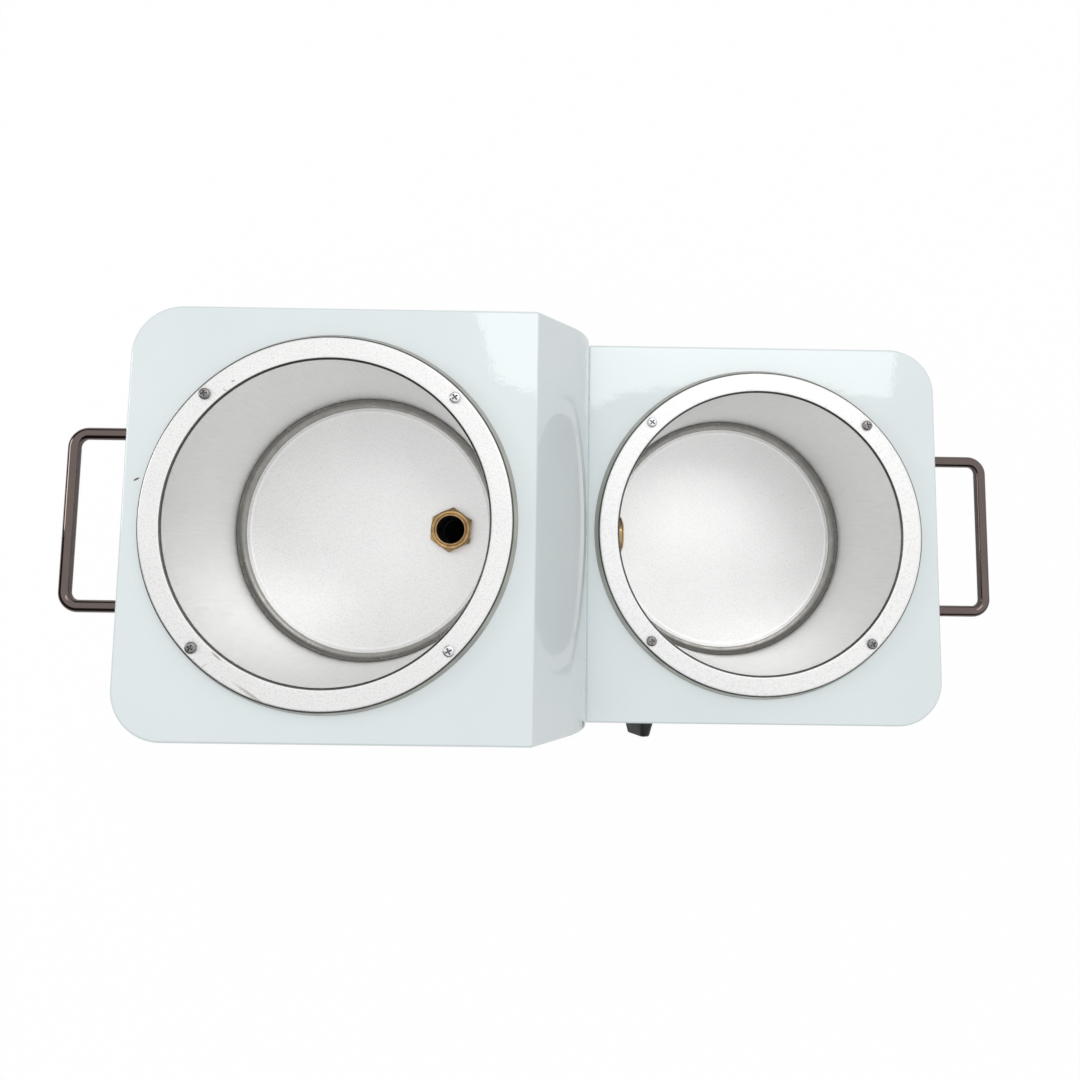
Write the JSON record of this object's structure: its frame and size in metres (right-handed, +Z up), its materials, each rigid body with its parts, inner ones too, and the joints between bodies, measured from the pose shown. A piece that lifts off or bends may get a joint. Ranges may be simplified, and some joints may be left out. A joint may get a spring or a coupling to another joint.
{
  "type": "double wax warmer",
  "caption": "Countertop wax warmer with a high and a low heated pot in a stepped white sheet case, drain valve between them, knobs, rocker switches, lamps and end handles.",
  "frame": {"origin": "on the floor, under the middle of the warmer's whole box", "axes": "+X along the case towards the lower pot, +Y to the back, +Z up"},
  "size_m": [0.635, 0.297, 0.2645],
  "materials": {
    "case_paint": "gloss white powder coat",
    "base_zinc": "zinc-plated sheet",
    "pot_aluminium": "fine satin, spun",
    "ring_board": "pressed fibre board",
    "brass": "turned, bright",
    "pipe_copper": "drawn copper",
    "ball_chrome": "polished plating",
    "stem_steel": "turned",
    "lever_steel": "stamped, satin",
    "handle_chrome": "polished plating",
    "rim_screw_steel": "bright stainless",
    "screw_zinc": "bright zinc",
    "foot_rubber": "moulded, matt",
    "seal_silicone": "red silicone",
    "seat_white": "machined",
    "bush_nylon": "moulded",
    "grip_vinyl": "dipped vinyl",
    "knob_plastic": "moulded, fine grain",
    "switch_plastic": "moulded",
    "rocker_plastic": "clear red, moulded",
    "lamp_lens": "clear amber lens",
    "inlet_plastic": "moulded",
    "pin_nickel": "nickel plate",
    "thermostat_steel": "plated can",
    "heater_steel": "heat-stained band",
    "jacket_wool": "glass-wool mat",
    "clip_steel": "spring steel",
    "cutout_ceramic": "phenolic and steel",
    "block_nylon": "moulded",
    "wire_silicone": "silicone sleeve"
  },
  "bodies": {
    "case": {"base_plate": "base_zinc", "bulb_clips": "clip_steel", "case_screws": "screw_zinc", "drain_elbow": "brass", "drain_fitting": "brass", "drain_washers": "seal_silicone", "foot_screws": "screw_zinc", "gland_nut": "brass", "handle_screws": "screw_zinc", "heater_wires": "wire_silicone", "inlet_fitting": "brass", "inlet_pins": "pin_nickel", "inlet_saddles": "seal_silicone", "inner_screws": "screw_zinc", "left_handle": "handle_chrome", "lock_nuts": "brass", "lower_band_heater": "heater_steel", "lower_case": "case_paint", "lower_jacket": "jacket_wool", "lower_lamp": "lamp_lens", "lower_pot": "pot_aluminium", "lower_rim_ring": "ring_board", "lower_sensor": "pipe_copper", "lower_switch_frame": "switch_plastic", "lower_thermostat": "thermostat_steel", "m4_nuts": "screw_zinc", "mains_wires": "wire_silicone", "panel_screws": "screw_zinc", "pipe_coupling": "brass", "power_inlet": "inlet_plastic", "right_handle": "handle_chrome", "rim_screws": "rim_screw_steel", "rubber_feet": "foot_rubber", "stem_bush": "bush_nylon", "terminal_block": "block_nylon", "thermal_cutouts": "cutout_ceramic", "transfer_pipe": "pipe_copper", "upper_band_heater": "heater_steel", "upper_case": "case_paint", "upper_jacket": "jacket_wool", "upper_lamp": "lamp_lens", "upper_pot": "pot_aluminium", "upper_rim_ring": "ring_board", "upper_sensor": "pipe_copper", "upper_switch_frame": "switch_plastic", "upper_thermostat": "thermostat_steel", "valve_body": "brass", "valve_cap": "brass", "valve_seats": "seat_white"},
    "upper_knob": {"upper_knob": "knob_plastic", "upper_spindle": "stem_steel"},
    "lower_knob": {"lower_knob": "knob_plastic", "lower_spindle": "stem_steel"},
    "upper_rocker": {"upper_rocker": "rocker_plastic"},
    "lower_rocker": {"lower_rocker": "rocker_plastic"},
    "valve_lever": {"valve_lever": "lever_steel", "lever_grip": "grip_vinyl", "lever_screw": "rim_screw_steel", "valve_stem": "stem_steel", "valve_ball": "ball_chrome"}
  },
  "joints": [
    {"name": "upper_knob_turn", "type": "hinge", "parent": "case", "child": "upper_knob", "pos_m": [-0.066, -0.12695, 0.095], "axis": [0, 1, 0], "range_deg": [0, 270]},
    {"name": "lower_knob_turn", "type": "hinge", "parent": "case", "child": "lower_knob", "pos_m": [0.066, -0.12695, 0.095], "axis": [0, 1, 0], "range_deg": [-25, 245]},
    {"name": "upper_rocker_tip", "type": "hinge", "parent": "case", "child": "upper_rocker", "pos_m": [-0.066, -0.12695, 0.138], "axis": [-1, 0, 0], "range_deg": [0, 18]},
    {"name": "lower_rocker_tip", "type": "hinge", "parent": "case", "child": "lower_rocker", "pos_m": [0.066, -0.12695, 0.138], "axis": [-1, 0, 0], "range_deg": [0, 18]},
    {"name": "valve_lever_turn", "type": "hinge", "parent": "case", "child": "valve_lever", "pos_m": [-0.0294, -0.12695, 0.0635], "axis": [0, 1, 0], "range_deg": [0, 90]}
  ]
}
